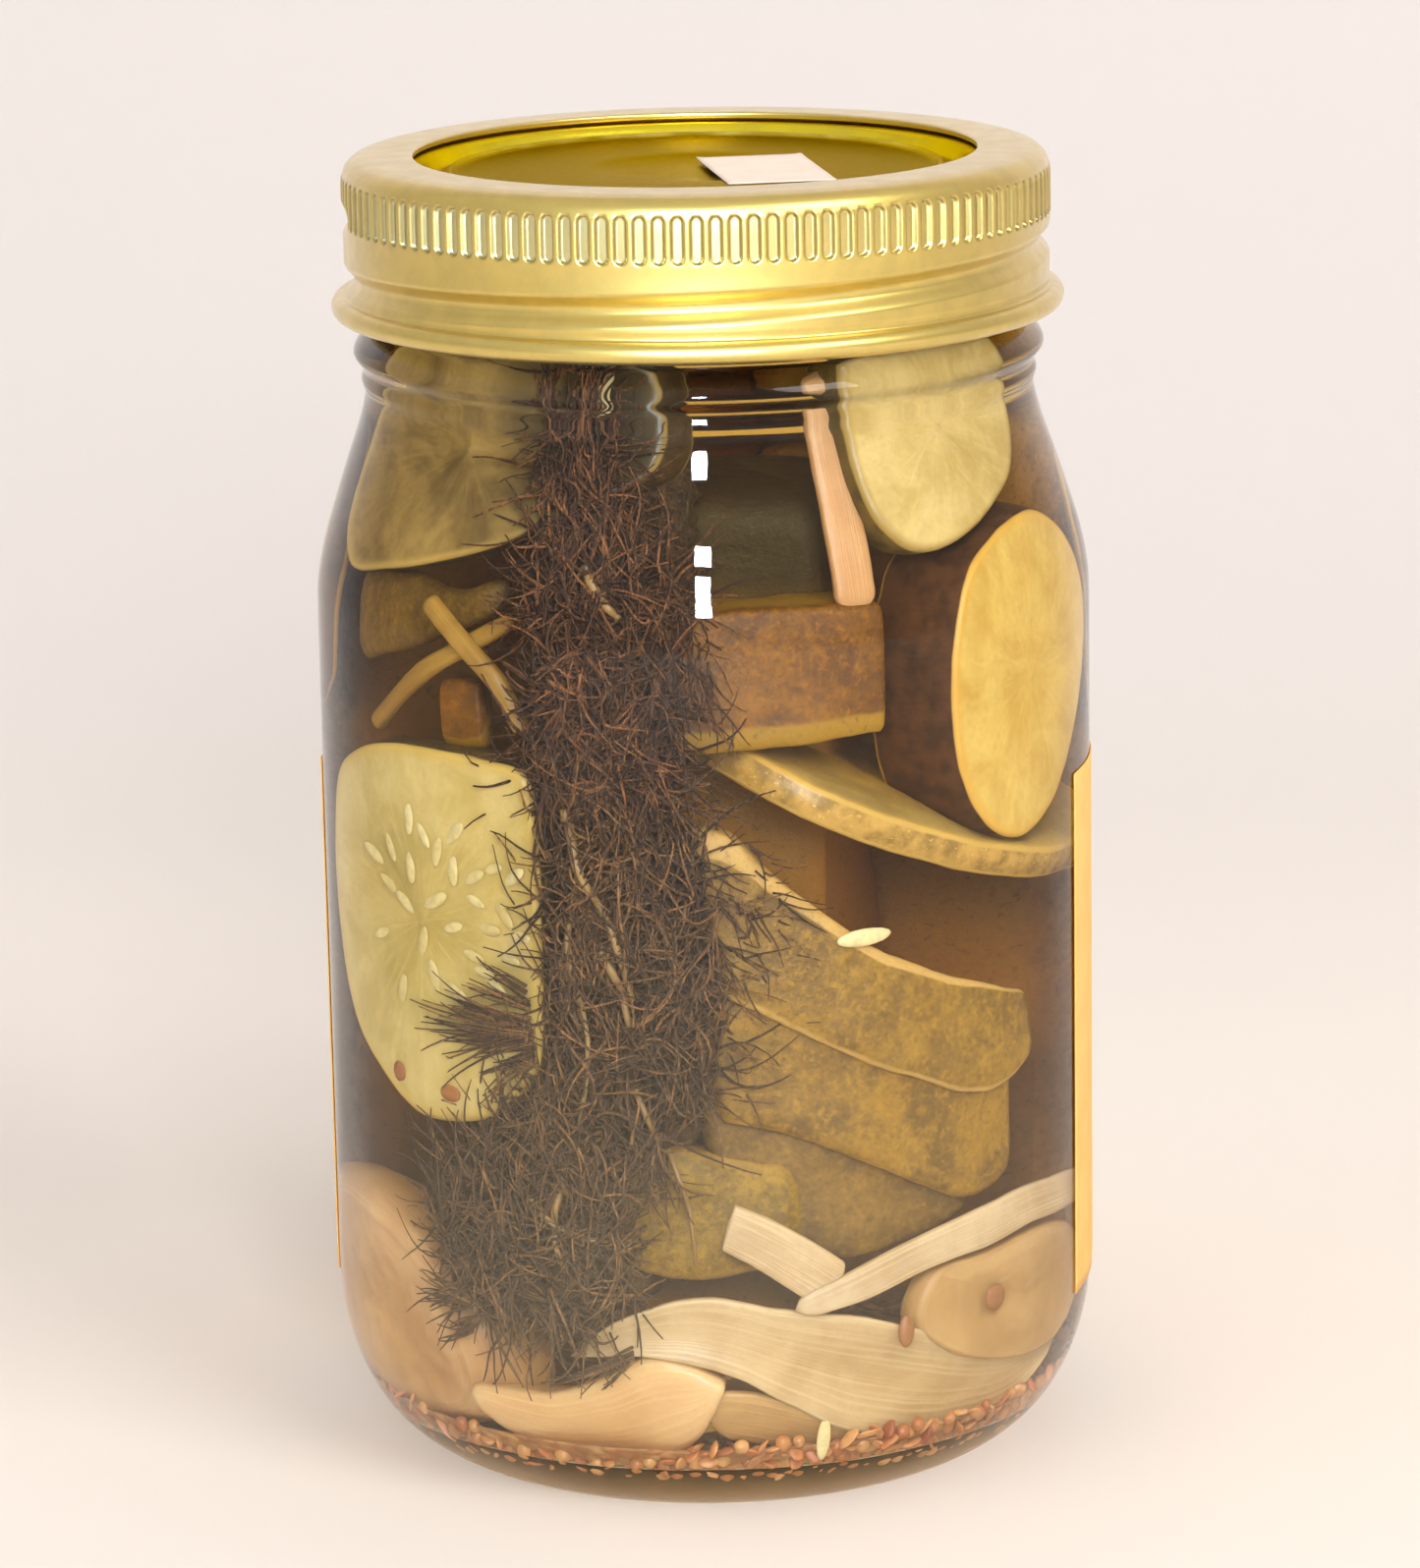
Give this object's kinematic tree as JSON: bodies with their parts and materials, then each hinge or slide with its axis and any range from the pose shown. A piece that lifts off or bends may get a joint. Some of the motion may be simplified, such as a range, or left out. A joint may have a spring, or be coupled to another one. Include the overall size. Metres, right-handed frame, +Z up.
{
  "type": "mason jar",
  "caption": "Pint glass canning jar with a two-piece screw lid, a blank wrap label, and pickled cucumber, dill, garlic and onion packed in brine.",
  "frame": {"origin": "centre of the jar's base, on the plane it stands on", "axes": "+Z up along the jar's axis towards the lid, -Y towards the front with the open gap in the label"},
  "size_m": [0.079, 0.0788, 0.1335],
  "materials": {
    "clear_glass": "clear pressed soda-lime glass, slightly green in thick section",
    "gold_band": "gold lacquered tinplate, satin",
    "gold_disc": "gold lacquered tinplate, glossy",
    "seal_compound": "soft moulded sealing compound",
    "sticker_paper": "matte paper",
    "label_paper": "coated paper, blank",
    "brine": "clear, faintly golden liquid",
    "cucumber_flesh": "moist and translucent",
    "cucumber_skin": "moist olive-brown skin",
    "garlic": "smooth, moist",
    "onion": "moist and translucent",
    "dill_stem": "moist, fibrous",
    "dill": "moist feathery leaf",
    "mustard_seed": "smooth seed",
    "pepper_flake": "rough dried flake"
  },
  "bodies": {
    "jar": {"glass_jar": "clear_glass", "brine": "brine", "wrap_label": "label_paper", "cucumber_round_top": "cucumber_flesh", "cucumber_oval_right": "cucumber_flesh", "cucumber_slice_left": "cucumber_flesh", "cucumber_slab_top": "cucumber_flesh", "cucumber_round_back": "cucumber_flesh", "cucumber_oval_back": "cucumber_flesh", "cucumber_slice_side": "cucumber_flesh", "onion_strip_back": "onion", "cucumber_slice_edge": "cucumber_flesh", "cucumber_spear_middle": "cucumber_skin", "cucumber_spear_lower": "cucumber_skin", "cucumber_spear_upper": "cucumber_skin", "cucumber_end_piece": "cucumber_skin", "cucumber_spear_back_left": "cucumber_skin", "cucumber_spear_back_right": "cucumber_skin", "cucumber_spear_core": "cucumber_skin", "garlic_clove_front": "garlic", "garlic_clove_left": "garlic", "onion_strip_short": "onion", "onion_strip_long": "onion", "onion_strip_broad": "onion", "onion_strip_upper": "onion", "onion_piece_right": "onion", "dill_stems": "dill_stem", "dill_head": "dill", "dill_sprig": "dill", "mustard_seeds": "mustard_seed", "pepper_flakes": "pepper_flake"},
    "lid": {"lid_disc": "gold_disc", "sealing_ring": "seal_compound", "price_sticker": "sticker_paper"},
    "band": {"screw_band": "gold_band"}
  },
  "joints": [
    {"name": "lid_lift", "type": "slide", "parent": "jar", "child": "lid", "axis": [0, 0, 1], "range_m": [0, 0.0191]},
    {"name": "band_turn", "type": "hinge", "parent": "lid", "child": "band", "pos_m": [0, 0, 0.1335], "axis": [0, 0, 1], "range_deg": [0, 1080]}
  ],
  "couplings": [
    {"joint": "lid_lift", "follows": "band_turn", "m_per_rad": 0.0010106}
  ]
}
